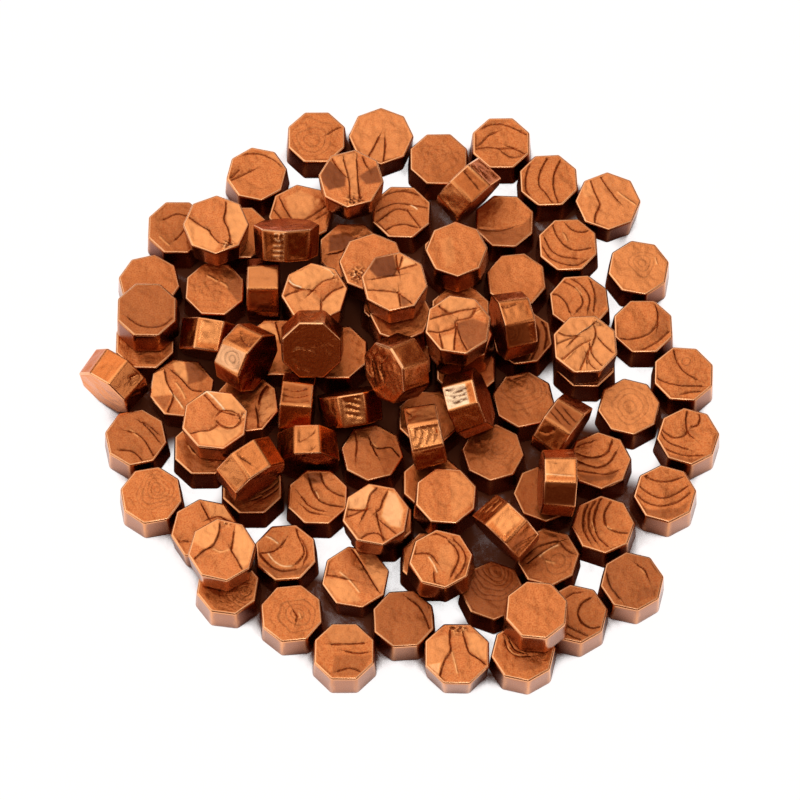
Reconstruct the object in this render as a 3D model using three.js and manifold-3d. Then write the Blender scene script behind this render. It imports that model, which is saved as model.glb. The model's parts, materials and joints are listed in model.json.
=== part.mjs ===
import * as THREE from 'three';
import { mergeVertices } from 'three/addons/utils/BufferGeometryUtils.js';
import Module from 'manifold-3d';

// A loose heap of octagonal sealing-wax beads, as it lies when a small bag of them is poured out.
// Millimetres, +Z up, +X to the viewer's right, +Y away from the viewer.

// One bead: wax poured into an eight-sided mould, so one face is open and wider, the other is moulded
const POURED_FLATS = 8.5;
const MOULDED_FLATS = 7.95;
const THICKNESS = 4.4;
const EDGE_CHAMFER = 0.25;
const SIDES = 8;

// Between beads
const REST_GAP = 0.25;
const SIDE_GAP = 0.2;
const BRIDGE_WIDTH = 1.2;
const BRIDGE_HEIGHT = 1.4;

// Easing a bead in among others: how often it is tried, and how far it rises each time
const PASSES = 200;
const WEDGE_RISE = 0.02;

// The photograph, 800 pixels square, seen from in front and above through a long lens.
// A poured face is BEAD_PIXELS across its flats in the middle of it, which sets the heap's scale.
const PICTURE_CENTRE = 400;
const FOCAL_PIXELS = 4263;
const BEAD_PIXELS = 62.3;
const VIEW_ELEVATION = THREE.MathUtils.degToRad(65.3);
const VIEW_DISTANCE = POURED_FLATS * FOCAL_PIXELS / BEAD_PIXELS;

// The wax: a pearly copper colour
const WAX = new THREE.MeshStandardMaterial({ color: 0xbe6a3c, metalness: 0.8, roughness: 0.35 });

const UP = new THREE.Vector3(0, 0, 1);
const EYE = new THREE.Vector3(0, -Math.cos(VIEW_ELEVATION), Math.sin(VIEW_ELEVATION));
EYE.multiplyScalar(VIEW_DISTANCE);

const wasm = await Module();
wasm.setup();

// The ways a bead can lie. A place is the pixel of the upper face's middle, or of the bead's middle
// where it stands on edge. Angles are in degrees, counted from the right towards the back.

// Moulded face up, with a corner at the angle turn, leaning by lean towards an angle
function smooth(across, down, turn, lean = 0, towards = 0) {
  return { across, down, turn, lean, towards, up: 1 };
}

// Poured face up
function folded(across, down, turn, lean = 0, towards = 0) {
  return { across, down, turn, lean, towards, up: -1 };
}

// On edge: its moulded face looks towards an angle and is raised by some degrees, and a corner
// of the rim is turned by roll from the top
function onEdge(across, down, towards, roll, raised = 0) {
  return { across, down, turn: towards + roll, lean: 90 - raised, towards, up: 1, byMiddle: true };
}

// Beads that lie on the table. A node holds one bead, or two or three neighbours with the thin bridges
// that keep them one solid.
const tableNodes = [
  ['back_left_rim_pair', [smooth(258.5, 176, 10), smooth(316.5, 136.5, 22.5)]],
  ['back_rim_triple', [folded(382, 136, 0), smooth(439.5, 158, 22.5), smooth(500, 143, 22.5)]],
  ['back_right_rim_pair', [smooth(547.5, 180, 25), folded(606, 201.5, 0)]],
  ['right_back_rim_pair', [smooth(638.5, 267, 12), smooth(643.5, 326, 23)]],
  ['right_rim_pair', [smooth(681, 374, 19), smooth(628, 406, 8)]],
  ['right_front_rim_pair', [smooth(686, 435, 5), smooth(665, 493, 6)]],
  ['front_right_rim_triple', [smooth(632, 580.5, 9), smooth(575.5, 613, 9), smooth(523, 651, 9)]],
  ['front_rim_triple', [folded(457, 653, 22), smooth(492, 589, 2), smooth(431, 562, 22)]],
  ['front_left_rim_triple', [smooth(345, 649, 22.5), smooth(292, 612.5, 28), smooth(229, 584, 15)]],
  ['left_front_rim_triple', [folded(203, 528, 10), smooth(152, 491.5, 33), smooth(136, 437, 35)]],
  ['left_rim_triple', [smooth(145.5, 342, 22.5), folded(182, 387, 16), folded(246, 404, 30)]],
  ['left_back_rim_pair', [smooth(215.5, 290.5, 20), smooth(152.5, 281, 36)]],
  ['back_left_triple', [smooth(179.5, 227, 22.5), smooth(239, 233, 22.5), folded(300.5, 213.5, 8)]],
  ['back_pair', [smooth(401.5, 211.5, 21), folded(347, 248, 22)]],
  ['back_middle_pair', [smooth(455, 256, 22), smooth(504.5, 222, 20)]],
  ['back_right_pair', [smooth(567, 245, 25), smooth(516.5, 281, 29)]],
  ['right_back_pair', [smooth(523, 337, 30), smooth(578.5, 299, 28)]],
  ['right_pair', [smooth(586, 361, 22), smooth(520.5, 397, 35)]],
  ['right_front_pair', [smooth(603, 521.5, 3), smooth(600, 459, 2)]],
  ['front_right_pair', [smooth(548.5, 555, 6), smooth(543.5, 492.5, 1)]],
  ['front_triple', [smooth(286.5, 551, 27), folded(356, 574, 12), smooth(404, 617, 26)]],
  ['front_left_triple', [smooth(206, 445, 23), smooth(253.5, 484.5, 23), smooth(321, 498.5, 21)]],
  ['middle_front_triple', [smooth(378, 521, 22), smooth(376, 446, 37), smooth(434, 483, 22)]],
  ['middle_triple', [smooth(400, 358, 22), smooth(424, 419, 22), smooth(492, 453, 39)]],
  ['middle_right_pair', [smooth(463, 366, 22), smooth(463, 313, 22)]],
  ['middle_pair', [smooth(338, 349, 22), smooth(392, 303, 22)]],
  ['middle_left_pair', [smooth(314, 299, 22), folded(276, 349, 22)]],
  ['edge_bead_left_rim', [onEdge(117, 384.5, 235, 30)]],
  ['edge_bead_back', [onEdge(264, 290, 180, 22.5)]],
  ['edge_bead_left', [onEdge(211.5, 335.5, 260, 22.5, -15)]],
  ['edge_bead_middle', [onEdge(296, 407, 355, 22.5)]],
  ['edge_bead_right', [onEdge(347, 405, 280, 22.5, -30)]],
  ['edge_bead_front', [onEdge(308.8, 448, 92, 22.5)]],
];

// Beads on top of them, in the order in which they came to rest, each with the level of its lowest
// point, counted in beads lying flat
const upperNodes = [
  ['second_layer_triple', [folded(372, 262, 43), smooth(401, 313, 2), smooth(459, 334, 2)], 1],
  ['second_layer_back_left', [folded(216, 224, 0)], 1],
  ['second_layer_back', [folded(351, 178, 38)], 1],
  ['second_layer_left', [smooth(148.5, 309, 22.5)], 1],
  ['second_layer_front_left', [folded(215, 419, 16)], 1],
  ['second_layer_front_right', [smooth(536.5, 609, 17)], 1],
  ['second_layer_front_rim', [folded(222, 549, 9)], 1],
  ['second_layer_middle', [folded(315.5, 291, 7)], 1],
  ['second_layer_back_right', [smooth(456.5, 248.5, 2)], 1],
  ['top_bead_back', [folded(394.5, 281, 36)], 2],
  ['top_bead_right', [folded(458, 324, 14)], 2],
  ['second_layer_right', [folded(585, 343.5, 26)], 1],
  ['second_layer_front_middle', [folded(376, 513.5, 12)], 1],
  ['second_layer_front_high', [smooth(446, 495, 18)], 1],
  ['second_layer_front_low', [smooth(441, 558, 8)], 1],
  ['leaning_bead_middle', [onEdge(457, 404.4, 10, 30, 20)], 0.5],
  ['leaning_bead_right', [onEdge(559.4, 430.4, 145, 22.5, 5)], 0.3],
  ['leaning_bead_back', [onEdge(466.5, 189.7, 135, 15, 12)], 0.4],
  ['leaning_bead_front', [onEdge(502.7, 524, 45, 30, 10)], 0.5],
  ['leaning_bead_back_left', [folded(287, 230, 0, 51, 90)], 0.62],
  ['upright_bead_left', [onEdge(245.5, 355.6, 145, 30, -10)], 1],
  ['upright_bead_front_left', [onEdge(251.2, 469, 305, 22.5, -5)], 1],
  ['upright_bead_back_right', [onEdge(507.5, 325.8, 15, 22.5, -5)], 1],
  ['upright_bead_middle', [onEdge(425.9, 436.5, 10, 0, 5)], 1],
  ['upright_bead_right', [onEdge(556.7, 477.9, 180, 22.5, 5)], 1],
  ['leaning_bead_high_right', [onEdge(387, 377, 214, 15, 26)], 1],
  ['leaning_bead_high_left', [onEdge(306, 347, -90, 22.5, 44)], 1],
];

// Rings of corners from the poured face up to the moulded one, each as its flats and its level
function beadRings(chamfer) {
  const half = THICKNESS / 2;
  return [
    [POURED_FLATS - 2 * chamfer, -half],
    [POURED_FLATS, -half + chamfer],
    [MOULDED_FLATS, half - chamfer],
    [MOULDED_FLATS - 2 * chamfer, half],
  ];
}

function ringCorners([flats, level]) {
  const radius = flats / 2 / Math.cos(Math.PI / SIDES);
  return Array.from({ length: SIDES }, (_, corner) => {
    const angle = corner * 2 * Math.PI / SIDES;
    return new THREE.Vector3(radius * Math.cos(angle), radius * Math.sin(angle), level);
  });
}

// One bead's closed surface: two octagons and the bands between its rings
function beadGeometry() {
  const rings = beadRings(EDGE_CHAMFER).map(ringCorners);
  const corners = rings.flat();
  const faces = [];
  for (let ring = 0; ring < rings.length - 1; ring += 1) {
    for (let side = 0; side < SIDES; side += 1) {
      const here = ring * SIDES + side;
      const next = ring * SIDES + (side + 1) % SIDES;
      faces.push(here, next, next + SIDES, here, next + SIDES, here + SIDES);
    }
  }
  const top = (rings.length - 1) * SIDES;
  for (let side = 1; side < SIDES - 1; side += 1) {
    faces.push(0, side + 1, side);
    faces.push(top, top + side, top + side + 1);
  }
  const geometry = new THREE.BufferGeometry().setFromPoints(corners);
  geometry.setIndex(faces);
  return geometry;
}

// The bead with sharp edges, as the resting test sees it: 16 corners, 10 faces and 12 edge lines
const sharpRings = [[POURED_FLATS, -THICKNESS / 2], [MOULDED_FLATS, THICKNESS / 2]].map(ringCorners);
const sharpCorners = sharpRings.flat();
const sharpEdges = sharpRings[0].flatMap((corner, side) => {
  const slant = sharpRings[1][side].clone().sub(corner).normalize();
  const rim = sharpRings[0][(side + 1) % SIDES].clone().sub(corner).normalize();
  return side < SIDES / 2 ? [slant, rim] : [slant];
});
const sharpNormals = sharpRings[0].map((corner, side) => {
  const next = sharpRings[0][(side + 1) % SIDES];
  return next.clone().sub(corner).cross(sharpRings[1][side].clone().sub(corner)).normalize();
});
sharpNormals.push(UP.clone());

const BEAD_REACH = sharpCorners[0].length();

// The way a bead is turned: about its own axis, over if its poured face is up, then leaned
function attitude(lie) {
  const radians = THREE.MathUtils.degToRad;
  const turned = new THREE.Quaternion().setFromAxisAngle(UP, radians(lie.turn));
  if (lie.up < 0) {
    turned.multiply(new THREE.Quaternion().setFromAxisAngle(new THREE.Vector3(1, 0, 0), Math.PI));
  }
  const towards = radians(lie.towards);
  const hinge = new THREE.Vector3(-Math.sin(towards), Math.cos(towards), 0);
  return turned.premultiply(new THREE.Quaternion().setFromAxisAngle(hinge, radians(lie.lean)));
}

// The point at a height above the table that the photograph shows at a pixel
function sightPoint(across, down, height) {
  const cos = Math.cos(VIEW_ELEVATION);
  const sin = Math.sin(VIEW_ELEVATION);
  const right = (across - PICTURE_CENTRE) / FOCAL_PIXELS;
  const above = (PICTURE_CENTRE - down) / FOCAL_PIXELS;
  const ray = new THREE.Vector3(right, cos + above * sin, above * cos - sin);
  return EYE.clone().addScaledVector(ray, (height - EYE.z) / ray.z);
}

// A bead with its place, and its corners, face normals and edge lines in the heap's frame
class Bead {
  constructor(lie) {
    this.lie = lie;
    this.quaternion = attitude(lie);
    this.anchor = new THREE.Vector3(0, 0, lie.byMiddle ? 0 : lie.up * THICKNESS / 2);
    this.anchor.applyQuaternion(this.quaternion);
    this.offsets = sharpCorners.map((corner) => corner.clone().applyQuaternion(this.quaternion));
    this.normals = sharpNormals.map((normal) => normal.clone().applyQuaternion(this.quaternion));
    this.edges = sharpEdges.map((edge) => edge.clone().applyQuaternion(this.quaternion));
    this.tableHeight = -Math.min(...this.offsets.map((offset) => offset.z));
    this.position = new THREE.Vector3();
    this.sightAt(this.tableHeight);
  }

  // Puts the middle of the bead at a height, on the photograph's line of sight
  sightAt(height) {
    const seen = sightPoint(this.lie.across, this.lie.down, height + this.anchor.z);
    this.position.copy(seen.sub(this.anchor));
  }

  span(axis) {
    const along = this.offsets.map((offset) => axis.dot(offset));
    const middle = axis.dot(this.position);
    return [middle + Math.min(...along), middle + Math.max(...along)];
  }

  near(other) {
    return this.position.distanceTo(other.position) < 2 * BEAD_REACH + REST_GAP;
  }
}

// Every direction along which two beads can be clear of each other
function clearingAxes(first, second) {
  const axes = [...first.normals, ...second.normals];
  for (const edge of first.edges) {
    for (const other of second.edges) {
      const across = edge.clone().cross(other);
      if (across.length() > 0.01) {
        axes.push(across.normalize());
      }
    }
  }
  return axes;
}

// How low a bead that is clear of another one can sink before they meet: nought, or less
function sinkOnto(bead, other) {
  let meets = 0;
  let passes = -Infinity;
  for (const axis of clearingAxes(bead, other)) {
    if (axis.z < 0) {
      axis.negate();
    }
    const [low, high] = bead.span(axis);
    const [otherLow, otherHigh] = other.span(axis);
    if (axis.z > 0.001) {
      meets = Math.min(meets, (otherHigh + REST_GAP - low) / axis.z);
      passes = Math.max(passes, (otherLow - REST_GAP - high) / axis.z);
    } else if (low - otherHigh > REST_GAP || otherLow - high > REST_GAP) {
      return -Infinity;
    }
  }
  return passes > meets ? -Infinity : meets;
}

// The least push that clears a bead of another one by a gap, level or any way, or null if it is clear
function leastPush(bead, other, gap, level) {
  let best = null;
  for (const axis of clearingAxes(bead, other)) {
    const way = level ? axis.clone().setZ(0) : axis.clone();
    const share = way.length();
    if (share < 0.05) {
      continue;
    }
    const [low, high] = bead.span(axis);
    const [otherLow, otherHigh] = other.span(axis);
    const onward = (otherHigh + gap - low) / share;
    const back = (high + gap - otherLow) / share;
    if (onward <= 0 || back <= 0) {
      return null;
    }
    const length = Math.min(onward, back);
    if (best === null || length < best.length()) {
      best = way.normalize().multiplyScalar(onward < back ? length : -length);
    }
  }
  return best;
}

// Moves beads on the table apart until none crosses its neighbour
function spread(beads) {
  for (let pass = 0; pass < PASSES; pass += 1) {
    let moved = false;
    beads.forEach((first, index) => {
      for (const second of beads.slice(index + 1)) {
        const push = first.near(second) ? leastPush(first, second, SIDE_GAP, true) : null;
        if (push !== null) {
          first.position.addScaledVector(push, 0.51);
          second.position.addScaledVector(push, -0.51);
          moved = true;
        }
      }
    });
    if (!moved) {
      break;
    }
  }
}

// Sets a bead at its level, eases it out of the beads that it crosses, and lets it down on them
function settle(bead, level, placed) {
  bead.sightAt(bead.tableHeight + level * (THICKNESS + REST_GAP));
  for (let pass = 0; pass < PASSES; pass += 1) {
    let worst = null;
    for (const other of placed.filter((one) => bead.near(one))) {
      const push = leastPush(bead, other, REST_GAP, false);
      if (push !== null && (worst === null || push.length() > worst.length())) {
        worst = push;
      }
    }
    if (worst === null) {
      break;
    }
    bead.position.addScaledVector(worst, 1.01);
    bead.position.z = Math.max(bead.position.z + WEDGE_RISE, bead.tableHeight);
  }
  const spare = bead.tableHeight - bead.position.z;
  bead.position.z += Math.max(spare, ...placed.map((other) => sinkOnto(bead, other)));
}

// The middle-to-middle bar that makes two neighbouring beads one solid
function bridgeGeometry(first, second) {
  const between = second.position.clone().sub(first.position);
  const bar = new THREE.BoxGeometry(between.length(), BRIDGE_WIDTH, BRIDGE_HEIGHT);
  bar.deleteAttribute('normal');
  bar.deleteAttribute('uv');
  bar.rotateZ(Math.atan2(between.y, between.x));
  const middle = first.position.clone().addScaledVector(between, 0.5);
  bar.translate(middle.x, middle.y, middle.z);
  return mergeVertices(bar);
}

function solid(geometry) {
  const surface = new wasm.Mesh({
    numProp: 3,
    vertProperties: new Float32Array(geometry.attributes.position.array),
    triVerts: new Uint32Array(geometry.index.array),
  });
  return new wasm.Manifold(surface);
}

// Two or three beads and the bridge from each to the nearest one before it, as one surface
function joinedGeometry(beads) {
  let whole = null;
  beads.forEach((bead, index) => {
    const turned = new THREE.Matrix4().compose(bead.position, bead.quaternion, new THREE.Vector3(1, 1, 1));
    const body = solid(beadGeometry().applyMatrix4(turned));
    whole = whole === null ? body : whole.add(body);
    const before = beads.slice(0, index);
    before.sort((one, other) => one.position.distanceTo(bead.position) - other.position.distanceTo(bead.position));
    if (before.length > 0) {
      whole = whole.add(solid(bridgeGeometry(before[0], bead)));
    }
  });
  const surface = whole.getMesh();
  const geometry = new THREE.BufferGeometry();
  geometry.setAttribute('position', new THREE.BufferAttribute(new Float32Array(surface.vertProperties), 3));
  geometry.setIndex(Array.from(surface.triVerts));
  return geometry;
}

function nodeMesh(name, beads) {
  const mesh = new THREE.Mesh(beads.length > 1 ? joinedGeometry(beads) : beadGeometry(), WAX);
  mesh.name = name;
  if (beads.length === 1) {
    mesh.position.copy(beads[0].position);
    mesh.quaternion.copy(beads[0].quaternion);
  }
  return mesh;
}

const nodes = tableNodes.map(([name, lies]) => [name, lies.map((lie) => new Bead(lie))]);
const heap = nodes.flatMap(([, beads]) => beads);
spread(heap);
for (const [name, lies, level] of upperNodes) {
  const beads = lies.map((lie) => new Bead(lie));
  for (const bead of beads) {
    settle(bead, level, heap);
    heap.push(bead);
  }
  nodes.push([name, beads]);
}

const part = new THREE.Group();
for (const [name, beads] of nodes) {
  part.add(nodeMesh(name, beads));
}

// The origin goes to the middle of the heap's outline, on the table
const outline = new THREE.Box3().setFromObject(part, true);
const middle = outline.getCenter(new THREE.Vector3());
for (const mesh of part.children) {
  mesh.position.sub(new THREE.Vector3(middle.x, middle.y, outline.min.z));
}

export default part;
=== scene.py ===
import json
import math

import bpy
import bmesh
import numpy as np
from mathutils import Matrix, Vector, noise


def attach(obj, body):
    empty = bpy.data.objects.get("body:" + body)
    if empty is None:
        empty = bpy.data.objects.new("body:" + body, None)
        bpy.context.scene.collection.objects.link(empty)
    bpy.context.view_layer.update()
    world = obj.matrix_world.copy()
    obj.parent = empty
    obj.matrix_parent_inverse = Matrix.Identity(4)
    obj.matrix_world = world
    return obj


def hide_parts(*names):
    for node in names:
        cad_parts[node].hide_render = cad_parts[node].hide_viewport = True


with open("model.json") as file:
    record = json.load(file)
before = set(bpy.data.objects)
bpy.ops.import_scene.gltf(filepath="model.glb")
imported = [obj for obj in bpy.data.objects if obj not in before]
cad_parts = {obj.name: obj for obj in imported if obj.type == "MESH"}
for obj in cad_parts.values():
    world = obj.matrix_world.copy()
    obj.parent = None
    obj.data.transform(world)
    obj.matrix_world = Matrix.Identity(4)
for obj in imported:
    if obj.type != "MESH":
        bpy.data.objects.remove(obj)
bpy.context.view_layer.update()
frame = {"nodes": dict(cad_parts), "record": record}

# The camera looks down at the heap from in front, through a long lens, as the photograph does.
# The photograph is 800 pixels square, and its middle looks at the origin on the table.
VIEW_ELEVATION = math.radians(65.3)
VIEW_DISTANCE = 0.5816
VIEW_LIMIT = 10
PICTURE_PIXELS = 800
FOCAL_PIXELS = 4263
SENSOR_WIDTH = 36.0

eye = VIEW_DISTANCE * Vector((0, -math.cos(VIEW_ELEVATION), math.sin(VIEW_ELEVATION)))
camera_turn = Matrix.Rotation(math.pi / 2 - VIEW_ELEVATION, 3, "X")
bpy.ops.object.camera_add(location=eye, rotation=camera_turn.to_euler())
camera = bpy.context.object
camera.name = "camera"
camera.data.sensor_width = SENSOR_WIDTH
camera.data.lens = SENSOR_WIDTH * FOCAL_PIXELS / PICTURE_PIXELS
camera.data.clip_end = VIEW_LIMIT
bpy.context.scene.camera = camera

# The table is white paper, pure white in the open, with a painted shadow of the heap close around it.
# Between the beads its colour is dark and coppery, a painted shade and copper bounce, but for painted pools
# of light at the openings where the photograph shows it bright.
FLOOR_SIZE = 4.0
WHITE = (1, 1, 1, 1)
PAPER_SHADE_TINT = (0.20, 0.058, 0.024, 1)
PAPER_ROUGHNESS = 0.9
PAPER_GLOSS = 0.1
PAPER_GLOW = 0.98
GAP_REACH = 0.03
GAP_SAMPLES = 16
GAP_SHUT, GAP_OPEN = 0.33, 0.45
OPENING_SHUT, OPENING_OPEN = 0.04, 0.13
BOUNCE_SHUT, BOUNCE_OPEN = 0.3, 0.75
OPENING = 0.0052
OPENING_CORE = 0.4 * OPENING
LIGHT_POOLS = ((180, 470), (200, 488), (448, 603), (435, 618), (328, 548), (345, 540), (634, 372), (626, 380),
            (583, 563), (598, 580), (395, 575), (396, 562), (391, 178), (404, 180), (262, 530), (246, 532),
            (303, 173), (504, 188), (612, 303), (489, 639), (557, 395), (637, 455), (597, 400),
            (592, 244), (600, 256), (607, 268))


def picture_ray(x, y):
    return camera_turn @ Vector((x - PICTURE_PIXELS / 2, PICTURE_PIXELS / 2 - y, -FOCAL_PIXELS)).normalized()


def table_point(x, y):
    way = picture_ray(x, y)
    return eye - way * (eye.z / way.z)


def put(tree, socket, value):
    if isinstance(value, bpy.types.NodeSocket):
        tree.links.new(value, socket)
    else:
        socket.default_value = value


def worked_out(tree, operation, *values):
    node = tree.nodes.new("ShaderNodeMath")
    node.operation = operation
    for socket, value in zip(node.inputs, values):
        put(tree, socket, value)
    return node.outputs[0]


def spread(tree, source, start, end, low=0.0, high=1.0, curve="LINEAR"):
    node = tree.nodes.new("ShaderNodeMapRange")
    node.interpolation_type = curve
    for label, value in (("From Min", start), ("From Max", end), ("To Min", low), ("To Max", high)):
        put(tree, node.inputs[label], value)
    put(tree, node.inputs["Value"], source)
    return node.outputs[0]


bpy.ops.object.select_all(action="DESELECT")
bpy.ops.mesh.primitive_plane_add(size=FLOOR_SIZE)
floor = bpy.context.object
floor.name = "floor"
paper = bpy.data.materials.new("white_paper")
paper.use_nodes = True
tree = paper.node_tree
shader = tree.nodes["Principled BSDF"]
for label, value in (("Base Color", PAPER_SHADE_TINT), ("Roughness", PAPER_ROUGHNESS),
                     ("Specular IOR Level", PAPER_GLOSS), ("Emission Color", WHITE)):
    shader.inputs[label].default_value = value
ray = tree.nodes.new("ShaderNodeLightPath")
openness = tree.nodes.new("ShaderNodeAmbientOcclusion")
openness.samples = GAP_SAMPLES
openness.inputs["Distance"].default_value = GAP_REACH
clear = openness.outputs["AO"]
ground = tree.nodes.new("ShaderNodeTexCoord")
nearest = FLOOR_SIZE
for spot in LIGHT_POOLS:
    reach = tree.nodes.new("ShaderNodeVectorMath")
    reach.operation = "DISTANCE"
    reach.inputs[1].default_value = table_point(*spot)
    put(tree, reach.inputs[0], ground.outputs["Object"])
    nearest = worked_out(tree, "MINIMUM", nearest, reach.outputs["Value"])
# The glow makes painted pools of light round the listed spots, and fades into a painted shadow where the
# beads close the floor in.
pool = spread(tree, nearest, OPENING_CORE, OPENING, 1.0, 0.0, "SMOOTHSTEP")
pool_light = spread(tree, clear, OPENING_SHUT, OPENING_OPEN, curve="SMOOTHSTEP")
pool_light = worked_out(tree, "MULTIPLY", pool, pool_light)
painted_floor_light = worked_out(tree, "MAXIMUM", spread(tree, clear, GAP_SHUT, GAP_OPEN, curve="SMOOTHSTEP"), pool_light)
painted_floor_light = worked_out(tree, "MULTIPLY", painted_floor_light, PAPER_GLOW)
direct = worked_out(tree, "MULTIPLY", painted_floor_light, ray.outputs["Is Camera Ray"])
# Reflections see a painted glow of the floor, faded by the same painted shadow.
painted_bounce = spread(tree, clear, BOUNCE_SHUT, BOUNCE_OPEN, curve="SMOOTHSTEP")
painted_bounce = worked_out(tree, "MULTIPLY", painted_bounce, ray.outputs["Is Glossy Ray"])
put(tree, shader.inputs["Emission Strength"], worked_out(tree, "ADD", direct, painted_bounce))
floor.data.materials.append(paper)

# The studio is a dome with a warm dim foot, brightest high behind the heap, a little to the left.
# A broad soft lamp stands at the left, a weaker one at the right, and a small one high in front.
# Each lamp has a name, a place, a width and a power in watts.
DOME_FOOT = (0.13, 0.038, 0.012, 1)
DOME_TOP = (1.75, 1.75, 1.75, 1)
DOME_MIDDLE = (-0.22, 0.34, 0.91)
DOME_POWER = 4.5
LAMPS = (("high_lamp", (0.07, -0.25, 0.81), 0.14, 0.34),
         ("left_lamp", (-0.75, -0.20, 0.45), 0.8, 1.45),
         ("right_lamp", (0.68, -0.28, 0.52), 0.5, 0.5))


def blended(tree, factor, under, over):
    mix = tree.nodes.new("ShaderNodeMix")
    mix.data_type = "RGBA"
    sockets = {socket.identifier: socket for socket in mix.inputs}
    for label, value in (("Factor_Float", factor), ("A_Color", under), ("B_Color", over)):
        put(tree, sockets[label], value)
    return next(socket for socket in mix.outputs if socket.identifier == "Result_Color")


world = bpy.data.worlds.new("studio")
bpy.context.scene.world = world
world.use_nodes = True
tree = world.node_tree
way = tree.nodes.new("ShaderNodeTexCoord")
toward = tree.nodes.new("ShaderNodeVectorMath")
toward.operation = "DOT_PRODUCT"
toward.inputs[1].default_value = DOME_MIDDLE
put(tree, toward.inputs[0], way.outputs["Generated"])
height = worked_out(tree, "MAXIMUM", toward.outputs["Value"], 0.0)
dome = blended(tree, worked_out(tree, "POWER", height, DOME_POWER), DOME_FOOT, DOME_TOP)
ray = tree.nodes.new("ShaderNodeLightPath")
backdrop = blended(tree, ray.outputs["Is Camera Ray"], dome, WHITE)
put(tree, tree.nodes["Background"].inputs["Color"], backdrop)
for name, place, width, watts in LAMPS:
    bpy.ops.object.light_add(type="AREA", location=place)
    lamp = bpy.context.object
    lamp.name = name
    lamp.data.shape = "DISK"
    lamp.data.size = width
    lamp.data.energy = watts
    lamp.rotation_euler = (-Vector(place)).to_track_quat("-Z", "Y").to_euler()
bpy.context.scene.view_settings.view_transform = "Standard"

# The wax is coloured with fine copper flakes, which lie thick and thin, so its colour and gloss vary.
# Folds get painted shade in their depth, ridges and bright patches are painted highlights, edges are worn
# pale, and closed-in walls get a painted shade.
FLAKE_SCALE = 5200
FLAKE_DETAIL = 2
FLAKE_HEIGHT = 0.00008
FLAKE_MIDDLE = 0.48
FLAKE_LOW, FLAKE_HIGH = 0.3, 0.7
CLOUD_SCALE = 700
CLOUD_DETAIL = 3
CLOUD_LOW, CLOUD_HIGH = 0.3, 0.6
CLOUD_DEPTH = 0.25
SMOOTHER_BY, ROUGHER_BY = 0.05, 0.08
DULL_ROUGHNESS = 0.14
SHADED_COAT = 0.1
COAT_ROUGHNESS = 0.16
BRIGHT = (0.71, 0.232, 0.064, 1)
DEEP = (0.52, 0.12, 0.025, 1)
SHADED = (0.26, 0.05, 0.008, 1)
DULL_SHADE = (0.17, 0.036, 0.008, 1)
LIT = (0.96, 0.40, 0.13, 1)
PALE = (0.95, 0.68, 0.42, 1)
HOLLOW_SHADE = (0.035, 0.007, 0.002, 1)
MARKS = ("hollow_shade", "dull_and_shade", "pale_and_highlight", "shaded")
# Each mark mixes in its colour: painted shade where beads close a place in, a duller colour that is partly
# painted shade, pale wear and painted highlights, and painted shade in the folds.
WEAR_AND_PAINTED_LIGHT = (("shaded", 0, 1, 0.92, SHADED), ("dull_and_shade", 0, 1, 0.85, DULL_SHADE), ("pale_and_highlight", 0, 0.5, 0.75, LIT),
        ("pale_and_highlight", 0.5, 1, 0.95, PALE), ("hollow_shade", 0, 1, 0.95, HOLLOW_SHADE))


def wax_group(name, inputs, outputs):
    group = bpy.data.node_groups.new(name, "ShaderNodeTree")
    for side, labels in (("INPUT", inputs), ("OUTPUT", outputs)):
        for label in labels:
            kind = "NodeSocketColor" if label in ("Bright", "Deep", "Colour") else "NodeSocketFloat"
            group.interface.new_socket(label, in_out=side, socket_type=kind)
    return group, group.nodes.new("NodeGroupInput").outputs, group.nodes.new("NodeGroupOutput").inputs


def specks(tree, scale, detail):
    place = tree.nodes.new("ShaderNodeTexCoord")
    node = tree.nodes.new("ShaderNodeTexNoise")
    node.inputs["Scale"].default_value = scale
    node.inputs["Detail"].default_value = detail
    put(tree, node.inputs["Vector"], place.outputs["Object"])
    return node.outputs["Fac"]


def mark_value(tree, mark):
    node = tree.nodes.new("ShaderNodeAttribute")
    node.attribute_name = mark
    return node.outputs["Fac"]


flakes, given, out = wax_group("copper_flakes", ("Bright", "Deep", "Speckle", "Roughness"),
                               ("Colour", "Roughness", "Height"))
flake = specks(flakes, FLAKE_SCALE, FLAKE_DETAIL)
sparse = worked_out(flakes, "SUBTRACT", FLAKE_MIDDLE, given["Speckle"])
crowded = worked_out(flakes, "ADD", FLAKE_MIDDLE, given["Speckle"])
tone = blended(flakes, spread(flakes, flake, sparse, crowded), given["Deep"], given["Bright"])
cloud = specks(flakes, CLOUD_SCALE, CLOUD_DETAIL)
cloud = spread(flakes, cloud, CLOUD_LOW, CLOUD_HIGH, CLOUD_DEPTH, 0.0)
smoother = worked_out(flakes, "SUBTRACT", given["Roughness"], SMOOTHER_BY)
rougher = worked_out(flakes, "ADD", given["Roughness"], ROUGHER_BY)
put(flakes, out["Colour"], blended(flakes, cloud, tone, given["Deep"]))
put(flakes, out["Roughness"], spread(flakes, flake, FLAKE_LOW, FLAKE_HIGH, smoother, rougher))
put(flakes, out["Height"], flake)

# This group paints the marks: real wear and grain, painted shade and painted highlights.
wear_and_light, given, out = wax_group("wax_wear", ("Colour", "Roughness", "Coat"), ("Colour", "Roughness", "Coat"))
marked = {mark: mark_value(wear_and_light, mark) for mark in MARKS}
colour = given["Colour"]
for mark, start, end, strength, over in WEAR_AND_PAINTED_LIGHT:
    colour = blended(wear_and_light, spread(wear_and_light, marked[mark], start, end, 0, strength), colour, over)
put(wear_and_light, out["Colour"], colour)
rougher = spread(wear_and_light, marked["dull_and_shade"], 0, 1, 0, DULL_ROUGHNESS)
put(wear_and_light, out["Roughness"], worked_out(wear_and_light, "ADD", given["Roughness"], rougher))
coat = spread(wear_and_light, marked["shaded"], 0, 1, 1, SHADED_COAT)
put(wear_and_light, out["Coat"], worked_out(wear_and_light, "MULTIPLY", given["Coat"], coat))


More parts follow.
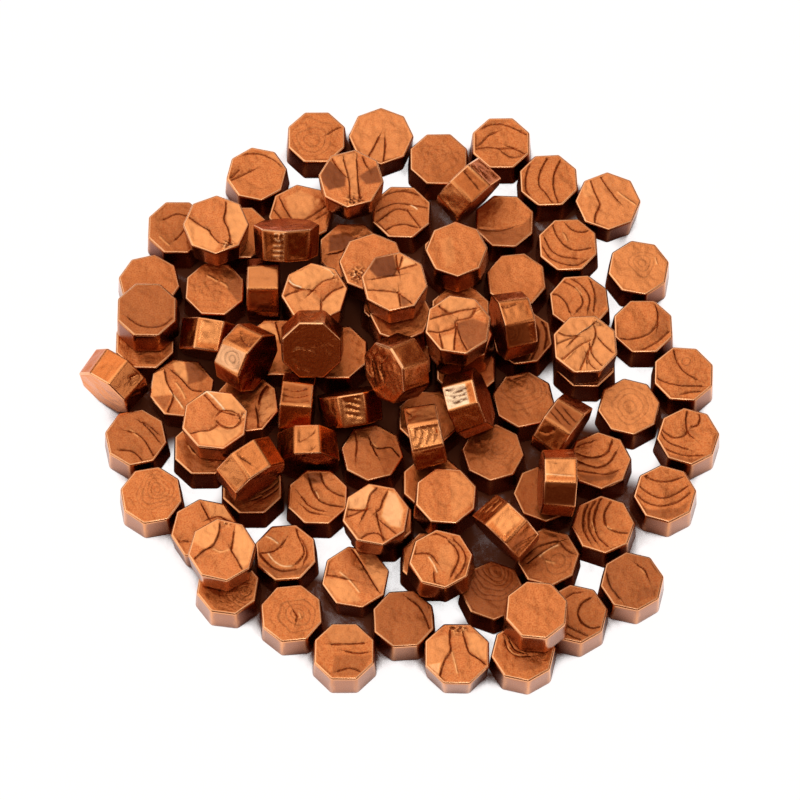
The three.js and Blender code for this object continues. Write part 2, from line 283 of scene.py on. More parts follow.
def wax(name, bright, deep, roughness, coat, grain, speckle):
    """One finish of the copper wax."""
    material = bpy.data.materials.new(name)
    material.use_nodes = True
    tree = material.node_tree
    shader = tree.nodes["Principled BSDF"]
    shader.inputs["Metallic"].default_value = 1.0
    shader.inputs["Coat Roughness"].default_value = COAT_ROUGHNESS
    flaked = tree.nodes.new("ShaderNodeGroup")
    flaked.node_tree = flakes
    for label, value in (("Bright", bright), ("Deep", deep), ("Speckle", speckle), ("Roughness", roughness)):
        flaked.inputs[label].default_value = value
    worn = tree.nodes.new("ShaderNodeGroup")
    worn.node_tree = wear_and_light
    worn.inputs["Coat"].default_value = coat
    put(tree, worn.inputs["Colour"], flaked.outputs["Colour"])
    put(tree, worn.inputs["Roughness"], flaked.outputs["Roughness"])
    bump = tree.nodes.new("ShaderNodeBump")
    bump.inputs["Strength"].default_value = grain
    bump.inputs["Distance"].default_value = FLAKE_HEIGHT
    put(tree, bump.inputs["Height"], flaked.outputs["Height"])
    put(tree, shader.inputs["Base Color"], worn.outputs["Colour"])
    put(tree, shader.inputs["Roughness"], worn.outputs["Roughness"])
    put(tree, shader.inputs["Coat Weight"], worn.outputs["Coat"])
    put(tree, shader.inputs["Normal"], bump.outputs[0])
    return material


moulded_wax = wax("moulded_wax", BRIGHT, DEEP, roughness=0.36, coat=0.15, grain=0.5, speckle=0.12)
poured_wax = wax("poured_wax", BRIGHT, DEEP, roughness=0.34, coat=0.2, grain=0.4, speckle=0.12)
glossy_wax = wax("glossy_wax", (0.66, 0.15, 0.026, 1), (0.5, 0.09, 0.012, 1),
                 roughness=0.26, coat=0.1, grain=0.2, speckle=0.25)
wall_wax = wax("wall_wax", (0.48, 0.19, 0.08, 1), (0.38, 0.13, 0.05, 1),
               roughness=0.24, coat=0.5, grain=0.12, speckle=0.4)
scraped_wax = wax("scraped_wax", (0.72, 0.21, 0.05, 1), (0.52, 0.12, 0.022, 1),
                  roughness=0.27, coat=0.15, grain=0.3, speckle=0.2)
rim_wax = wax("rim_wax", (0.93, 0.52, 0.27, 1), (0.8, 0.36, 0.15, 1),
              roughness=0.22, coat=0.8, grain=0.1, speckle=0.3)

# One bead as it leaves its mould: an octagon that widens towards the poured face, its edges rounded.
# A lying bead is cut fine on the face that it shows, and a bead on edge is cut fine on its walls too.
POURED_FLATS = 0.0085
MOULDED_FLATS = 0.00795
THICKNESS = 0.0044
SIDES = 8
EDGE_ROUND = 0.00026
EDGE_STEPS = 4
RIM = 0.00012
LEVEL = 0.985
WALL_SLANT = 0.15
SMALL_END = 1e-5
SMALL_WALL = 6e-6
SHOWN_CUTS = 38
HIDDEN_CUTS = 8
WALL_CUTS = 7
STANDING_CUTS = 22


def copy_of(original):
    bpy.ops.object.select_all(action="DESELECT")
    bpy.context.view_layer.objects.active = original
    original.select_set(True)
    bpy.ops.object.duplicate()
    return bpy.context.object


def select_faces(mesh, wanted):
    bpy.ops.mesh.select_all(action="DESELECT")
    shape = bmesh.from_edit_mesh(mesh)
    for face in shape.faces:
        face.select_set(wanted(face))
    bmesh.update_edit_mesh(mesh)


def bead_master(name, finishes, moulded_cuts, poured_cuts, wall_cuts):
    bpy.ops.object.select_all(action="DESELECT")
    corner_radius = POURED_FLATS / 2 / math.cos(math.pi / SIDES)
    bpy.ops.mesh.primitive_cylinder_add(vertices=SIDES, radius=corner_radius, depth=THICKNESS)
    master = bpy.context.object
    master.name = name
    bpy.ops.object.mode_set(mode="EDIT")
    bpy.ops.mesh.select_mode(type="FACE")
    select_faces(master.data, lambda face: face.normal.z > LEVEL)
    bpy.ops.transform.resize(value=(MOULDED_FLATS / POURED_FLATS, MOULDED_FLATS / POURED_FLATS, 1))
    bpy.ops.mesh.select_all(action="SELECT")
    bpy.ops.mesh.bevel(offset=EDGE_ROUND, segments=EDGE_STEPS, affect="EDGES")
    for side, cuts in ((1, moulded_cuts), (-1, poured_cuts)):
        select_faces(master.data, lambda face: face.normal.z * side > LEVEL and face.calc_area() > SMALL_END)
        bpy.ops.mesh.inset(thickness=RIM)
        bpy.ops.mesh.poke()
        bpy.ops.mesh.subdivide(number_cuts=cuts)
    select_faces(master.data, lambda face: abs(face.normal.z) < WALL_SLANT and face.calc_area() > SMALL_WALL)
    bpy.ops.mesh.subdivide(number_cuts=wall_cuts)
    bpy.ops.object.mode_set(mode="OBJECT")
    for finish in finishes:
        master.data.materials.append(finish)
    for face in master.data.polygons:
        slant = abs(face.normal.z)
        end = 1 if face.normal.z > 0 else 2
        face.material_index = 0 if slant < WALL_SLANT else 3 if slant < LEVEL else end
    for mark in MARKS:
        master.data.attributes.new(mark, "FLOAT", "POINT")
    return master


lying_finishes = (wall_wax, moulded_wax, poured_wax, rim_wax)
edge_finishes = (scraped_wax, glossy_wax, glossy_wax, rim_wax)
moulded_up = bead_master("moulded_up", lying_finishes, SHOWN_CUTS, HIDDEN_CUTS, WALL_CUTS)
poured_up = bead_master("poured_up", lying_finishes, HIDDEN_CUTS, SHOWN_CUTS, WALL_CUTS)
on_edge = bead_master("on_edge", edge_finishes, STANDING_CUTS, STANDING_CUTS, STANDING_CUTS)

# Every bead of the heap lies where its CAD solid lies. A node of joined beads gives two or three places,
# each read from its solid's two octagonal ends: the wide one is poured, the narrow one moulded.
END_AREA = 40e-6
WELD = 2e-6


def bead_places(node):
    copy = copy_of(frame["nodes"][node])
    bpy.ops.object.mode_set(mode="EDIT")
    bpy.ops.mesh.select_all(action="SELECT")
    bpy.ops.mesh.remove_doubles(threshold=WELD)
    bpy.ops.mesh.dissolve_limited(angle_limit=math.radians(1))
    bpy.ops.object.mode_set(mode="OBJECT")
    ends = [face for face in copy.data.polygons if face.area > END_AREA]
    ends.sort(key=lambda face: face.area)
    half = len(ends) // 2
    places = []
    for wide in ends[half:]:
        def offset(face):
            return (face.center + wide.normal * THICKNESS - wide.center).length
        narrow = min(ends[:half], key=offset)
        axis = (narrow.center - wide.center).normalized()
        spokes = [copy.data.vertices[v].co - wide.center for v in wide.vertices]
        spoke = max(spokes, key=lambda s: round(s.x, 6))
        across = (spoke - axis * spoke.dot(axis)).normalized()
        middle = (narrow.center + wide.center) / 2
        turn = Matrix((across, axis.cross(across), axis)).transposed()
        places.append(Matrix.Translation(middle) @ turn.to_4x4())
    bpy.data.objects.remove(copy)
    return sorted(places, key=lambda place: place.translation.x)


places = {}
for node in sorted(frame["nodes"]):
    found = bead_places(node)
    for number, place in enumerate(found, 1):
        places[f"wax_{node}" if len(found) == 1 else f"wax_{node}_{number}"] = (node, place)

# The folds, rings and scratches of the wax are named by where the photograph shows them.
# A ray through each picture point finds the bead and the face that it lies on. A crease, a ridge, a
# patch or a set of rings gives its strength first, and then the picture points that it runs through.
CREASE_WIDTH = 0.00011
CREASE_DEPTH = 0.00008
FAR_AWAY = 9.0
CURVE_STEPS = (0, 0.25, 0.5, 0.75)
flare = (POURED_FLATS - MOULDED_FLATS) / 2 / THICKNESS
walls = [(math.cos(a), math.sin(a), flare) for a in ((k + 0.5) * 2 * math.pi / SIDES for k in range(SIDES))]
SIDE_NORMALS = np.array([(0, 0, 1), (0, 0, -1)] + walls)
SIDE_REACH = np.array([THICKNESS / 2] * 2 + [(POURED_FLATS + MOULDED_FLATS) / 4] * SIDES)
marks = {name: [] for name in places}


def ray_in_bead(spot, place):
    back = place.inverted()
    return np.array(back @ eye), np.array(back.to_3x3() @ picture_ray(*spot))


def face_hit(spot, place):
    start, way = ray_in_bead(spot, place)
    speed = SIDE_NORMALS @ way
    far = (SIDE_REACH - SIDE_NORMALS @ start) / speed
    enter = np.where(speed < 0, far, -1)
    face = int(np.argmax(enter))
    leave = np.where(speed > 0, far, FAR_AWAY).min()
    return (enter[face], face) if enter[face] < leave else (FAR_AWAY, -1)


def bead_at(spots):
    votes = {}
    for spot in spots:
        hits = [(*face_hit(spot, place), name) for name, (node, place) in places.items()]
        depth, face, name = min(hits)
        if face >= 0:
            votes[name, face] = votes.get((name, face), 0) + 1
    return max(sorted(votes), key=votes.get)


def on_face(spots, name, face):
    landed = []
    for spot in spots:
        start, way = ray_in_bead(spot, places[name][1])
        far = (SIDE_REACH[face] - SIDE_NORMALS[face] @ start) / (SIDE_NORMALS[face] @ way)
        landed.append(start + far * way)
    return np.array(landed)


def smoothed(spots):
    if len(spots) < 3:
        return spots
    spots = [Vector(s) for s in spots]
    ends = [2 * spots[0] - spots[1]] + spots + [2 * spots[-1] - spots[-2]]
    line = []
    for a, b, c, d in zip(ends, ends[1:], ends[2:], ends[3:]):
        for t in CURVE_STEPS:
            line.append(0.5 * (2 * b + (c - a) * t + (2 * a - 5 * b + 4 * c - d) * t ** 2
                               + (3 * b - a - 3 * c + d) * t ** 3))
    return [tuple(s) for s in line] + [tuple(spots[-1])]


def add_mark(kind, line, seen_at, *amounts):
    name, face = bead_at(seen_at)
    marks[name].append((kind, face, on_face(line, name, face), *amounts))


# A crease is a groove with painted shade in its depth, and a broad painted shade along its lower side.
def crease(dark, *spots, wide=1.0):
    add_mark("crease", smoothed(spots), spots, dark, wide)


# A ridge stands up a little, with a painted highlight along its crest.
def ridge(pale_and_highlight, *spots, wide=1.3):
    add_mark("ridge", smoothed(spots), spots, pale_and_highlight, wide)


# A patch with a tone above zero is a painted highlight; one below zero is duller and darker, partly rough
# wax and partly painted shade. Its grain makes it duller and rougher.
def patch(tone, *spots, rise=0.0, grain=0.0):
    centre = [sum(axis) / len(spots) for axis in zip(*spots)]
    inner = [[c + 0.5 * (s - c) for s, c in zip(spot, centre)] for spot in spots]
    add_mark("patch", spots, inner + [centre, centre], tone, rise, grain)


# Rings are shallow grooves with painted shade in them.
def rings(strength, spot, spacing, outer):
    add_mark("rings", [spot, (spot[0] + spacing, spot[1])], [spot], strength, outer / spacing)


# A knob is the lump left by the pour, with painted shade in its dips and painted highlights on its bumps.
def knob(spot, size=8):
    add_mark("knob", [spot, (spot[0] + size, spot[1])], [spot])


# A face tone paints a whole face: above zero a painted highlight, below zero a painted shade, grain a duller
# and rougher finish, and deep the painted shade of closed-in walls.
def face_tone(spot, tone=0.0, grain=0.0, deep=0.0):
    add_mark("tone", [spot], [spot], tone, grain, deep)


# The back rim: beads that lie flat in one layer and show their smooth moulded side.
# Faint arcs in it show where two runs of wax met in the mould.
crease(0.5, (233, 158), (246, 154), (260, 154), (273, 159), (284, 168))
crease(0.6, (230, 181), (238, 177), (246, 173), (254, 169))
crease(0.6, (232, 177), (239, 170))
patch(0.2, (266, 153), (276, 154), (287, 166), (284, 169), (272, 160))
rings(0.35, (313, 138), 7, 26)
crease(0.4, (328, 134), (336, 129), (345, 126))
crease(0.6, (379, 137), (374, 147), (368, 157), (363, 165))
crease(0.55, (385, 138), (385, 150), (383, 163))
crease(0.6, (361, 150), (364, 160), (367, 166))
face_tone((382, 136), 0.12)
rings(0.22, (439, 160), 8, 24)
face_tone((439, 158), -0.15)
crease(0.7, (478, 130), (490, 125), (503, 124), (516, 129), (528, 135))
crease(0.6, (471, 148), (480, 144), (488, 136), (496, 132))
crease(0.6, (508, 146), (518, 150), (526, 154))
crease(0.7, (503, 152), (513, 157), (524, 155), wide=1.6)
crease(0.35, (472, 150), (486, 147), (500, 148), (514, 148))
crease(0.6, (534, 157), (527, 172), (526, 188), (531, 198))
crease(0.6, (548, 157), (541, 170), (539, 184), (546, 193), (553, 203))
crease(0.75, (560, 161), (554, 175), (554, 189), (559, 203))
crease(0.8, (601, 177), (607, 186), (614, 195), (618, 200))
ridge(0.6, (618, 192), (630, 201), (638, 207))
crease(0.45, (591, 181), (595, 192), (600, 204), (596, 214), (595, 222))
face_tone((606, 201), 0.12)
patch(0.3, (580, 185), (590, 181), (594, 195), (584, 198))

# The second row at the back, where some beads lie poured side up and some moulded side up.
# The poured sides are folded where the wax set last, and the moulded sides are ringed.
crease(0.8, (344, 160), (349, 180), (350, 197))
crease(0.8, (357, 160), (358, 178), (360, 197))
crease(0.6, (331, 156), (337, 166), (346, 176))
patch(-0.9, (321, 164), (330, 160), (346, 177), (345, 186), (329, 190), (321, 180))
patch(-0.8, (359, 176), (380, 163), (385, 182), (366, 184))
patch(0.2, (331, 156), (357, 152), (359, 196), (350, 197), (347, 178), rise=0.00005)
knob((355, 202), 9)
crease(0.6, (280, 198), (285, 208), (291, 217))
crease(0.6, (273, 208), (277, 213), (281, 218))
crease(0.7, (306, 219), (316, 213), (326, 206))
crease(0.5, (317, 219), (327, 212))
patch(0.22, (285, 198), (300, 190), (320, 200), (306, 218), (292, 218))
crease(0.7, (378, 199), (390, 193), (405, 191), (420, 196), (428, 204))
crease(0.5, (373, 213), (385, 206), (398, 203), (414, 205), (429, 208))
crease(0.6, (374, 224), (384, 216), (396, 209), (408, 210))
crease(0.7, (384, 231), (392, 226), (404, 224), (417, 227))
crease(0.55, (408, 211), (415, 220), (421, 228))
ridge(0.9, (411, 205), (417, 209))
patch(-0.5, (478, 229), (500, 230), (520, 227), (531, 216), (531, 236), (512, 249), (486, 245))
crease(0.35, (480, 229), (498, 230), (512, 227), wide=1.6)
crease(0.85, (553, 225), (557, 235), (565, 245), (576, 250), (591, 248))
crease(0.7, (566, 224), (573, 230), (583, 232), (592, 229))
crease(0.8, (541, 244), (549, 256), (561, 263), (576, 265), (588, 259))
crease(0.5, (545, 238), (551, 249), (562, 256), (577, 258))
ridge(0.4, (563, 233), (567, 240))
rings(0.3, (643, 264), 6, 18)
face_tone((638, 267), 0.15)
ridge(0.6, (655, 258), (657, 264))
crease(0.6, (568, 277), (578, 282), (586, 290), (590, 299), (588, 310))
crease(0.75, (587, 274), (592, 284), (595, 295), (594, 310))
crease(0.75, (549, 294), (558, 295), (566, 302), (570, 312))
crease(0.6, (562, 281), (572, 285), (580, 293), (583, 303), (577, 311))
ridge(0.6, (576, 288), (581, 294))
patch(-0.35, (595, 282), (606, 290), (608, 304), (598, 312), (595, 300))
crease(0.7, (356, 238), (348, 247), (340, 252), (329, 254))
patch(-0.9, (329, 236), (346, 232), (354, 238), (344, 250), (329, 252))
patch(-0.4, (470, 572), (500, 562), (516, 575), (506, 606), (474, 604))
rings(0.2, (214, 292), 9, 26)
ridge(0.5, (208, 276), (212, 278), (217, 281))
ridge(0.4, (221, 282), (228, 287))
patch(-0.5, (222, 268), (242, 274), (246, 292), (240, 304), (228, 290))
face_tone((152, 281), -0.15)
crease(0.6, (130, 319), (140, 325), (152, 327), (165, 324), (178, 313))
face_tone((148, 309), grain=0.4)
crease(0.6, (176, 239), (181, 234), (186, 227))
crease(0.35, (164, 219), (176, 214), (188, 216))
ridge(0.5, (160, 237), (165, 242), (169, 245))
face_tone((170, 228), -0.25)

# The second layer at the left, beads that lie on the rim beads below them.
# Two of them show their poured side, with broad bright folds that run to one pinched point.
crease(0.9, (186, 215), (195, 221), (204, 227), (209, 230))
crease(0.45, (209, 230), (213, 236), (219, 242))
crease(0.8, (226, 199), (226, 210), (224, 219), (228, 228), (230, 236), (230, 242))
patch(0.35, (186, 218), (208, 231), (219, 244), (214, 252), (193, 247), (184, 229))
patch(0.4, (227, 199), (238, 203), (249, 223), (239, 244), (231, 240), (229, 228), (226, 217))
knob((228, 246), 7)
crease(0.8, (165, 372), (167, 382), (172, 391), (173, 398), (168, 411))
crease(0.8, (172, 371), (180, 377), (187, 385), (193, 390), (201, 391))
ridge(0.8, (170, 391), (176, 398), (183, 408))
ridge(0.5, (176, 383), (181, 390), (185, 398))
patch(0.3, (153, 373), (163, 370), (168, 386), (172, 394), (151, 397))
patch(-0.4, (151, 397), (172, 395), (164, 412))
patch(0.35, (172, 362), (183, 360), (189, 378), (187, 383), (176, 373))
patch(-0.7, (185, 360), (199, 362), (211, 374), (202, 381), (188, 384))
crease(0.6, (189, 434), (200, 431), (210, 430), (217, 425))
ridge(0.95, (204, 389), (211, 395), (218, 402), (224, 409), wide=1.7)
crease(0.5, (200, 391), (209, 399), (216, 407), (222, 411), (235, 415))
crease(0.7, (217, 415), (222, 411), (232, 411), (240, 416), (240, 422), (234, 427), (225, 427), (217, 421))
patch(0.4, (197, 433), (216, 428), (243, 424), (240, 433), (222, 447), (200, 444))
patch(0.4, (206, 390), (232, 391), (246, 410), (238, 413), (225, 409))
knob((243, 416), 6)
crease(0.6, (266, 386), (261, 394), (259, 403))
crease(0.8, (256, 408), (258, 418), (258, 428))
patch(0.25, (262, 395), (274, 386), (278, 408), (264, 425), (259, 412))
crease(0.8, (276, 322), (279, 334), (281, 343))
patch(0.3, (258, 324), (275, 323), (279, 340), (266, 338))
crease(0.9, (144, 424), (152, 432), (159, 441))
crease(0.7, (128, 431), (138, 434), (146, 442), (154, 456))
crease(0.7, (120, 450), (134, 452), (145, 463))
crease(0.35, (140, 421), (150, 426), (158, 433))
ridge(0.7, (131, 430), (138, 436))
face_tone((136, 437), grain=0.3)
rings(0.35, (157, 490), 5, 24)
patch(-0.45, (176, 440), (196, 440), (214, 470), (190, 472))
ridge(0.6, (189, 446), (193, 452), (196, 454))

# The front at the left, single beads of the lowest layer and one that lies on two others.
# That one shows its poured side, which set in broad flat panels.
crease(0.9, (220, 524), (219, 532), (216, 540), (212, 546), (203, 551), (194, 559))
crease(0.55, (234, 532), (233, 540), (232, 548))
crease(0.95, (232, 551), (237, 559), (242, 569))
patch(0.45, (236, 524), (245, 528), (253, 545), (249, 563), (243, 569), (233, 551), (234, 534))
patch(0.4, (196, 528), (207, 521), (219, 520), (219, 531), (214, 543), (204, 549), (192, 541))
ridge(0.6, (214, 549), (220, 552), (229, 550))
crease(0.6, (207, 520), (213, 517), (220, 516), (228, 520))
knob((227, 521), 6)
crease(0.6, (202, 505), (206, 512), (209, 518))
patch(0.3, (204, 501), (222, 501), (235, 519), (211, 517))
crease(1.0, (176, 543), (182, 541), (188, 541), wide=1.5)
rings(0.4, (245, 590), 5, 28)
face_tone((229, 584), -0.3, grain=0.6)
crease(0.7, (296, 526), (299, 537), (304, 548), (303, 556), (296, 563))
crease(0.4, (302, 540), (307, 552), (304, 562))
crease(0.8, (258, 552), (264, 560), (272, 567), (283, 571), (296, 569))
crease(0.6, (256, 553), (268, 552), (277, 549))
crease(0.9, (277, 549), (281, 545), (285, 540))
ridge(0.8, (268, 553), (274, 561), (283, 566), (292, 566))
ridge(0.8, (266, 536), (272, 539), (278, 543))
patch(-0.5, (258, 562), (272, 568), (296, 570), (312, 560), (306, 574), (276, 577))
rings(0.45, (297, 615), 6, 26)
crease(0.7, (294, 611), (297, 616), (296, 621))
ridge(0.5, (299, 613), (301, 618))
crease(0.6, (332, 644), (348, 644), (364, 643))
crease(0.35, (346, 651), (356, 653), (368, 652))
crease(0.5, (338, 671), (350, 668), (362, 672))
patch(0.2, (322, 626), (352, 622), (372, 636), (364, 642), (332, 643), grain=0.2)
patch(-0.35, (334, 655), (372, 655), (360, 676), (332, 676))
crease(0.8, (262, 493), (271, 488), (281, 479))
crease(0.7, (264, 498), (275, 491), (283, 483))
crease(0.7, (252, 500), (261, 496))
face_tone((260, 498), -0.5, grain=0.4)

# The front in the middle, where poured and moulded sides lie next to each other.
# The poured sides have broken folds, and the moulded ones long arcs.
crease(0.9, (321, 574), (330, 575), (340, 577), (348, 579), wide=1.3)
crease(0.75, (352, 549), (360, 560), (366, 570), (372, 580), (378, 590))
crease(0.8, (365, 545), (365, 552), (364, 560), wide=1.4)
ridge(0.7, (340, 572), (348, 579), (355, 587), (359, 592))
ridge(0.6, (351, 545), (355, 550), (359, 555))
patch(0.25, (367, 545), (380, 548), (390, 562), (388, 578), (380, 591), (374, 582), (366, 567))
patch(0.3, (322, 577), (345, 580), (353, 589), (361, 600), (345, 603), (330, 594))
patch(-0.15, (340, 548), (352, 549), (366, 571), (376, 590), (365, 595), (352, 578), (338, 560))
crease(0.75, (408, 598), (419, 606), (426, 618), (430, 630))
crease(0.6, (416, 594), (427, 603), (434, 616))
face_tone((404, 617), -0.2, grain=0.45)
crease(0.9, (450, 630), (450, 640), (451, 650), (446, 658), (442, 668), (440, 677))
crease(0.9, (463, 632), (466, 643), (470, 653), (478, 658), (488, 666))
ridge(0.6, (452, 652), (455, 664), (457, 673))
patch(0.35, (466, 632), (480, 634), (488, 645), (489, 661), (478, 657), (470, 650))
patch(0.22, (428, 640), (448, 634), (449, 652), (441, 668), (436, 675), (427, 660))
patch(0.6, (428, 664), (441, 662), (439, 676), (431, 672))
knob((459, 626), 9)
crease(0.8, (449, 541), (456, 548), (459, 557), (456, 566), (451, 576))
crease(0.7, (454, 539), (463, 549), (466, 559), (462, 570), (456, 577))
crease(0.6, (460, 538), (469, 549), (471, 560))
crease(0.75, (411, 554), (426, 553), (433, 556), (437, 562))
crease(0.7, (434, 573), (435, 582), (437, 587))
crease(0.5, (424, 537), (436, 534), (447, 538))
ridge(0.8, (429, 557), (434, 565), (437, 572))
patch(0.15, (440, 545), (452, 545), (456, 560), (448, 574), (438, 568))
crease(0.85, (377, 488), (371, 494), (368, 502), (366, 510), (362, 518))
crease(0.75, (387, 492), (383, 500), (381, 507), (377, 511))
crease(0.7, (343, 517), (352, 515), (361, 511), (367, 509))
crease(0.8, (345, 509), (356, 510), (366, 510))
crease(0.75, (358, 541), (368, 534), (378, 533), (384, 538))
crease(0.85, (377, 514), (379, 524), (382, 535), (386, 546))
crease(0.85, (380, 520), (388, 527), (398, 535))
ridge(0.5, (350, 490), (360, 485), (370, 483))
patch(0.55, (350, 492), (360, 486), (371, 484), (375, 489), (369, 497), (366, 509), (345, 508))
patch(0.6, (389, 490), (396, 493), (404, 510), (401, 528), (390, 526), (381, 516), (385, 500))
knob((384, 484), 10)
crease(0.95, (320, 472), (323, 482), (330, 490), (339, 495), (348, 497))
crease(0.95, (309, 478), (312, 489), (318, 499), (327, 504), (345, 507))
crease(0.6, (302, 497), (308, 504), (316, 509), (324, 511))
crease(0.45, (304, 507), (311, 512), (320, 514))
ridge(0.6, (316, 492), (319, 498))
patch(-0.7, (302, 474), (322, 470), (322, 482), (310, 484))
rings(0.15, (446, 495), 9, 26)
patch(0.15, (450, 470), (472, 482), (474, 500), (452, 522))
rings(0.25, (500, 445), 7, 30)
face_tone((492, 453), -0.15, grain=0.25)
crease(0.8, (371, 441), (374, 446), (381, 448), (391, 447), (396, 452), (401, 458))
crease(0.6, (371, 443), (374, 449), (377, 455))
crease(0.45, (355, 430), (357, 443), (356, 456))
ridge(0.5, (372, 442), (377, 447))
face_tone((376, 446), grain=0.3)

# The front at the right and the right rim, beads that lie flat with their moulded side up.
# Bold arcs cross them, like ripples round a stone, where the wax ran in and cooled.
crease(0.8, (522, 559), (535, 548), (548, 543), (558, 541))
crease(0.8, (516, 553), (527, 545), (540, 538))
crease(0.7, (515, 547), (524, 541), (534, 537))
crease(0.75, (527, 563), (539, 554), (552, 546))
crease(0.8, (561, 543), (566, 549), (573, 553))
ridge(0.95, (540, 556), (547, 550), (558, 545))
ridge(0.5, (546, 561), (554, 563))
rings(0.35, (556, 560), 7, 24)
face_tone((548, 562), grain=0.25)
crease(0.8, (590, 598), (582, 603), (578, 613), (582, 623), (592, 628), (603, 626))
crease(0.95, (567, 626), (578, 631), (590, 637), wide=1.3)
crease(0.8, (566, 633), (574, 637), (584, 641))
crease(0.4, (567, 597), (573, 593), (580, 592))
face_tone((588, 610), -0.15, grain=0.3)
crease(0.6, (505, 640), (509, 650), (518, 656), (530, 656))
crease(0.5, (510, 641), (515, 649), (524, 653))
ridge(0.5, (507, 646), (513, 653), (521, 656))
patch(-0.3, (512, 658), (545, 652), (540, 668), (520, 672))
rings(0.5, (496, 572), 5, 34)
face_tone((480, 592), -0.4, grain=0.6)
crease(0.9, (605, 562), (607, 574), (611, 586), (620, 598), wide=1.7)
crease(0.5, (638, 565), (645, 570), (648, 577))
ridge(0.4, (641, 569), (645, 574))
patch(-0.6, (638, 588), (660, 584), (656, 596), (634, 604))
patch(-0.4, (608, 556), (640, 554), (632, 572), (610, 574))
face_tone((632, 580), -0.15, grain=0.45)
crease(0.75, (602, 496), (596, 508), (594, 522), (598, 536), (608, 546))
crease(0.8, (590, 500), (584, 512), (583, 527), (589, 540))
crease(0.75, (612, 500), (606, 509), (604, 518), (607, 527), (618, 532), (630, 533))
crease(0.4, (596, 499), (589, 512), (589, 528), (596, 541))
ridge(0.5, (592, 522), (595, 530))
ridge(0.6, (606, 526), (611, 529))
crease(0.85, (640, 472), (654, 480), (669, 481), (682, 477))
crease(0.8, (635, 481), (647, 492), (661, 498), (675, 494), (688, 486))
crease(0.6, (633, 490), (645, 501), (661, 506), (677, 502), (690, 493))
crease(0.6, (637, 469), (643, 475))
patch(-0.5, (636, 504), (652, 510), (678, 508), (690, 500), (682, 516), (656, 520))
crease(0.8, (612, 441), (608, 451), (600, 456), (588, 457), (577, 453))
crease(0.8, (616, 452), (609, 462), (598, 467), (585, 464), (576, 460))
crease(0.6, (576, 470), (590, 472), (606, 474), (618, 470))
crease(0.7, (575, 447), (583, 443), (592, 441))
patch(-0.6, (576, 474), (606, 476), (620, 470), (612, 480), (590, 482))
crease(0.8, (674, 350), (677, 361), (685, 372), (697, 379))
crease(0.8, (652, 372), (661, 380), (678, 385), (702, 386))
crease(0.8, (682, 394), (690, 392), (700, 391))
rings(0.5, (687, 360), 5, 11)
crease(0.95, (688, 408), (686, 420), (688, 431), (693, 437))
crease(0.75, (657, 420), (663, 430), (673, 437), (683, 436), (688, 431))
crease(0.8, (655, 438), (667, 449), (684, 455), (702, 455))
crease(0.5, (660, 427), (664, 437), (673, 444), (688, 449))
crease(0.7, (695, 410), (700, 416), (698, 424), (692, 426))
patch(-0.5, (655, 445), (668, 454), (690, 459), (704, 457), (696, 464), (668, 460))
crease(0.9, (655, 303), (658, 314), (657, 327))
crease(0.8, (613, 335), (624, 339), (638, 338), (650, 333), (657, 325))
crease(0.7, (622, 349), (640, 350), (658, 341), (672, 328))
patch(-0.3, (658, 305), (671, 314), (672, 330), (660, 340), (652, 336), (659, 322))
rings(0.3, (630, 405), 6, 26)
face_tone((628, 406), 0.15)

# The top of the heap, the highest beads and those that they lean on.
# Their folds are the deepest, because they cooled from the poured side.
patch(-1.0, (371, 257), (393, 252), (397, 270), (395, 276), (377, 277), (368, 268))
crease(0.5, (396, 251), (397, 262), (399, 272))
crease(0.6, (403, 253), (401, 262), (397, 269))
crease(0.8, (398, 269), (410, 266), (424, 262))
patch(0.55, (404, 254), (422, 259), (424, 262), (401, 267))
crease(0.7, (372, 279), (384, 277), (398, 275))
crease(0.8, (365, 290), (380, 290), (398, 292))
crease(0.9, (398, 292), (406, 298), (413, 304))
crease(0.8, (399, 292), (400, 301), (401, 309))
patch(0.25, (374, 292), (398, 292), (400, 308), (382, 308))
patch(-0.7, (400, 294), (411, 302), (402, 309))
patch(0.2, (372, 279), (398, 276), (428, 264), (430, 280), (414, 300), (398, 291), (366, 289))
crease(0.8, (436, 303), (442, 308), (450, 313))
crease(0.8, (431, 319), (450, 313), (462, 310), (476, 308))
crease(0.75, (428, 331), (440, 332), (455, 327), (457, 320), (470, 317), (475, 310))
crease(0.85, (457, 323), (455, 338), (454, 353))
crease(0.8, (457, 328), (462, 340), (470, 354))
crease(0.7, (440, 335), (442, 343), (443, 351))
ridge(0.5, (476, 313), (484, 310), (488, 316))
patch(0.35, (436, 302), (449, 295), (474, 297), (476, 307), (450, 312))
patch(-0.35, (458, 322), (473, 318), (489, 325), (486, 341), (471, 352), (458, 332), grain=0.6)
patch(0.35, (441, 336), (454, 334), (453, 351), (444, 350))
patch(0.2, (428, 320), (472, 310), (470, 316), (456, 322), (440, 331), (427, 330))
knob((358, 275), 9)
face_tone((372, 262), 0.12)
crease(0.75, (288, 282), (293, 286), (300, 289), (308, 289), (313, 290))
crease(0.8, (284, 297), (291, 293), (301, 290))
crease(0.8, (312, 291), (318, 285), (325, 280), (334, 278))
crease(0.85, (323, 300), (331, 292), (340, 288), (347, 285))
crease(0.8, (321, 301), (321, 307), (321, 313))
crease(0.6, (308, 295), (313, 290))
ridge(0.95, (288, 279), (293, 284), (301, 287), wide=1.6)
ridge(0.8, (322, 267), (329, 270), (334, 275))
patch(0.4, (290, 275), (300, 268), (312, 262), (333, 268), (335, 276), (320, 284), (312, 290),
      (300, 288), (288, 280))
patch(0.35, (323, 301), (335, 292), (348, 286), (344, 310), (332, 317), (322, 313))
patch(0.2, (284, 296), (301, 291), (313, 292), (322, 301), (320, 313), (296, 312))
knob((339, 276), 6)
rings(0.12, (456, 250), 10, 28)
patch(0.15, (440, 240), (452, 236), (456, 262), (446, 268))
crease(0.8, (595, 322), (588, 328), (580, 333), (570, 343))
